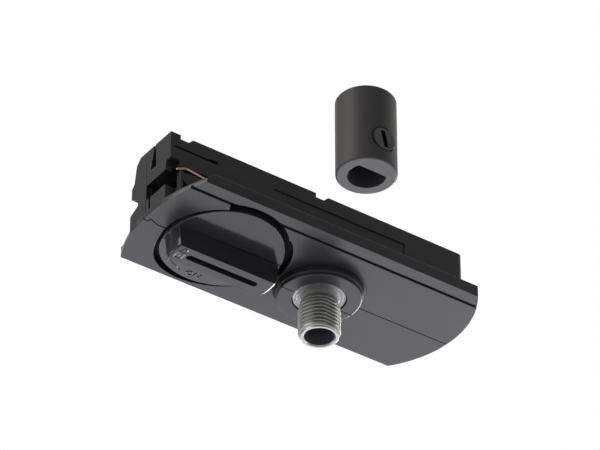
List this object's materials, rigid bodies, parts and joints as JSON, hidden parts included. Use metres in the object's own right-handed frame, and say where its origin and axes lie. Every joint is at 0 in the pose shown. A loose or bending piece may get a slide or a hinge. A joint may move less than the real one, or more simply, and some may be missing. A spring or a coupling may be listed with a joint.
{
  "type": "track light adapter",
  "caption": "Pendant adapter for a lighting track: two-shell insert with contacts, a quarter-turn lock knob, a threaded cable nipple and a loose cord grip.",
  "frame": {"origin": "on the line through the knob and nipple axes, in the plane where the cover plate meets the track, midway along the plate's straight sides", "axes": "+X along the track towards the plate's broader rounded end, +Z into the track, key side towards -Y"},
  "size_m": [0.0865, 0.0659, 0.0333],
  "materials": {
    "shell_plastic": "fine spark-eroded black",
    "knob_plastic": "satin black",
    "grip_plastic": "satin black",
    "clamp_plastic": "satin black",
    "block_plastic": "ivory",
    "nipple_steel": "zinc plated",
    "pressed_steel": "zinc plated",
    "fastener_steel": "zinc plated",
    "contact_copper": "rolled copper",
    "terminal_brass": "drawn brass"
  },
  "bodies": {
    "housing": {"near_shell": "shell_plastic", "far_shell": "shell_plastic", "line_contact": "contact_copper", "neutral_contact": "contact_copper", "earth_contact": "contact_copper", "terminal_block": "block_plastic", "line_terminal": "terminal_brass", "neutral_terminal": "terminal_brass", "earth_terminal": "terminal_brass", "terminal_screws": "fastener_steel", "cable_nipple": "nipple_steel", "nipple_carrier": "pressed_steel", "lock_washer": "fastener_steel", "nipple_nut": "fastener_steel", "shell_screws": "fastener_steel", "cord_grip": "grip_plastic"},
    "knob": {"lock_knob": "knob_plastic", "locking_bar": "pressed_steel", "bar_washer": "fastener_steel", "bar_screw": "fastener_steel"},
    "clamp": {"clamp_screw": "clamp_plastic"}
  },
  "joints": [
    {"name": "knob_turn", "type": "hinge", "parent": "housing", "child": "knob", "pos_m": [-0.0211, 0, 0], "axis": [0, 0, -1], "range_deg": [0, 90]},
    {"name": "clamp_feed", "type": "slide", "parent": "housing", "child": "clamp", "axis": [0, 1, 0], "range_m": [0, 0.004]}
  ]
}
